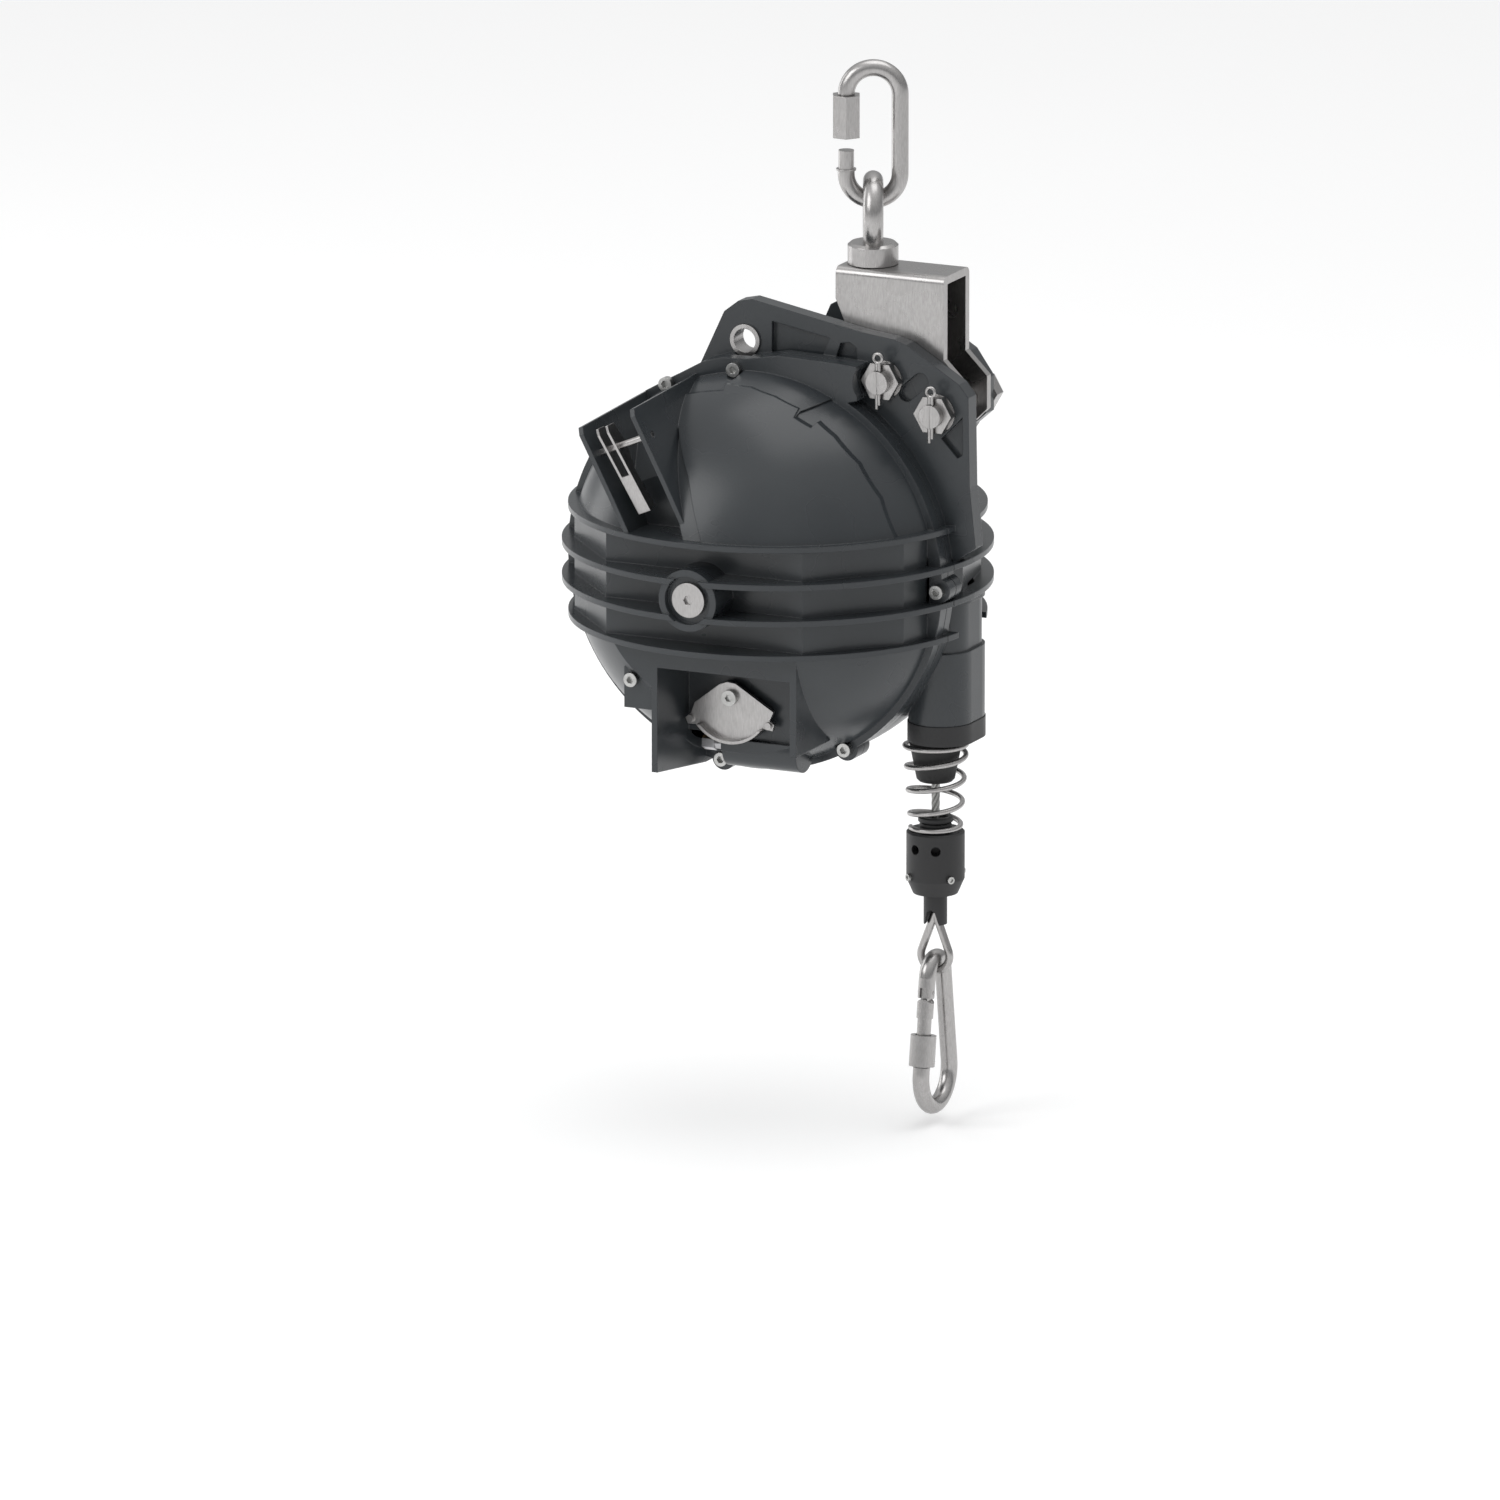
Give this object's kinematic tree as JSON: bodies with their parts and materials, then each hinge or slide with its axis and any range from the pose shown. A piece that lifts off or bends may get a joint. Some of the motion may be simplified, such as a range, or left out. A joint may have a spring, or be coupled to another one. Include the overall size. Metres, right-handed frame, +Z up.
{
  "type": "tool balancer",
  "caption": "Spring balancer with a ribbed ball-shaped cast housing, swivel eye and quick link above, and a sprung rope with clamp and snap hook below.",
  "frame": {"origin": "bearing point at the inside top of the quick link, where it rests on the support that carries the balancer", "axes": "+Z up along the suspension, +Y along the drum axis from the front cover to the rear housing, +X from the drum axis towards the rope"},
  "size_m": [0.2635, 0.2548, 0.6323],
  "materials": {
    "cast_grey": "satin powder coat on die-cast aluminium",
    "stainless": "satin stainless steel",
    "zinc_screw": "bright socket screws",
    "black_plastic": "moulded black plastic",
    "black_rubber": "rubber",
    "machined_steel": "machined steel inside",
    "aluminium_inside": "machined aluminium",
    "rope_steel": "stranded wire rope",
    "bronze": "bronze bush",
    "gasket": "flat gasket"
  },
  "bodies": {
    "housing": {"front_cover": "cast_grey", "rear_housing": "cast_grey", "housing_gasket": "gasket", "cover_screw_1": "zinc_screw", "cover_screw_2": "zinc_screw", "cover_screw_3": "zinc_screw", "cover_screw_4": "zinc_screw", "cover_screw_5": "zinc_screw", "cover_screw_6": "zinc_screw", "hanger_bracket": "stainless", "hanger_bolt_1": "stainless", "hanger_bolt_2": "stainless", "hanger_washer_1": "stainless", "hanger_washer_2": "stainless", "hanger_nut_1": "stainless", "hanger_nut_2": "stainless", "cotter_pin_1": "stainless", "cotter_pin_2": "stainless", "safety_bush": "stainless", "swivel_washer": "stainless", "axle": "machined_steel", "axle_screw": "stainless", "outlet_collar": "black_plastic", "rope_guide": "black_plastic", "rubber_buffer": "black_rubber", "worm_bush_1": "bronze", "worm_bush_2": "bronze", "plate_screw": "zinc_screw", "lever_pin": "stainless"},
    "swivel": {"swivel_eye": "stainless", "swivel_nut": "stainless"},
    "link": {"quick_link": "stainless"},
    "link_sleeve": {"link_nut": "stainless"},
    "drum": {"rope_drum": "aluminium_inside", "drum_lid": "aluminium_inside", "drum_bearing_1": "machined_steel", "drum_bearing_2": "machined_steel", "spiral_spring": "machined_steel", "rope_on_drum": "rope_steel", "pawl_pin": "machined_steel"},
    "pawl": {"safety_pawl": "machined_steel"},
    "arbor": {"spring_arbor": "machined_steel", "worm_wheel": "bronze"},
    "worm": {"adjust_worm": "machined_steel"},
    "plate": {"adjuster_plate": "stainless"},
    "lever": {"lock_lever": "stainless"},
    "load": {"rope": "rope_steel", "buffer_spring": "stainless", "rope_stop": "black_plastic", "clamp_body": "black_plastic", "clamp_screw_1": "zinc_screw", "clamp_screw_2": "zinc_screw", "clamp_screw_3": "zinc_screw", "clamp_screw_4": "zinc_screw", "neck_sleeve": "black_plastic", "thimble": "stainless"},
    "hook": {"snap_hook": "stainless", "gate_pin": "stainless"},
    "gate": {"hook_gate": "stainless"},
    "gate_sleeve": {"hook_sleeve": "stainless"}
  },
  "joints": [
    {"name": "swivel_turn", "type": "hinge", "parent": "housing", "child": "swivel", "pos_m": [0, 0, -0.1023], "axis": [0, 0, 1], "continuous": true},
    {"name": "link_swing", "type": "hinge", "parent": "swivel", "child": "link", "pos_m": [0, 0, -0.0631], "axis": [-0.4258, 0.9048, 0], "range_deg": [-50, 50]},
    {"name": "link_nut_travel", "type": "slide", "parent": "link", "child": "link_sleeve", "axis": [0, 0, -1], "range_m": [0, 0.018]},
    {"name": "drum_spin", "type": "hinge", "parent": "housing", "child": "drum", "pos_m": [-0.056, -0.012, -0.2923], "axis": [0, 1, 0], "range_deg": [0, 1145], "stiffness_Nm_per_rad": 0.3, "springref_deg": -1145.92},
    {"name": "load_travel", "type": "slide", "parent": "housing", "child": "load", "axis": [0, 0, -1], "range_m": [0, 2], "deforming": ["rope"]},
    {"name": "pawl_swing", "type": "hinge", "parent": "drum", "child": "pawl", "pos_m": [-0.0065, -0.0535, -0.2428], "axis": [0, 1, 0], "range_deg": [0, 8], "stiffness_Nm_per_rad": 0.3, "springref_deg": -28.65},
    {"name": "worm_turn", "type": "hinge", "parent": "housing", "child": "worm", "pos_m": [-0.04, -0.06, -0.3963], "axis": [1, 0, 0], "range_deg": [-3600, 3600]},
    {"name": "arbor_turn", "type": "hinge", "parent": "housing", "child": "arbor", "pos_m": [-0.056, -0.012, -0.2923], "axis": [0, 1, 0], "range_deg": [-62, 62]},
    {"name": "plate_swing", "type": "hinge", "parent": "housing", "child": "plate", "pos_m": [-0.0568, -0.0748, -0.364], "axis": [0, -1, 0], "range_deg": [0, 46]},
    {"name": "lever_swing", "type": "hinge", "parent": "housing", "child": "lever", "pos_m": [-0.1081, -0.123, -0.20795], "axis": [0.9205, 0, 0.3907], "range_deg": [0, 14]},
    {"name": "hook_swing", "type": "hinge", "parent": "load", "child": "hook", "pos_m": [0.044, -0.006, -0.535], "axis": [1, 0, 0], "range_deg": [-45, 45]},
    {"name": "gate_open", "type": "hinge", "parent": "hook", "child": "gate", "pos_m": [0.044, -0.01861, -0.54554], "axis": [1, 0, 0], "range_deg": [0, 22], "stiffness_Nm_per_rad": 0.05, "springref_deg": -28.65},
    {"name": "sleeve_travel", "type": "slide", "parent": "gate", "child": "gate_sleeve", "axis": [0, 0.1453, 0.9894], "range_m": [0, 0.009]}
  ],
  "couplings": [
    {"joint": "load_travel", "follows": "drum_spin", "m_per_rad": 0.1},
    {"joint": "arbor_turn", "follows": "worm_turn", "ratio": 0.016667}
  ]
}
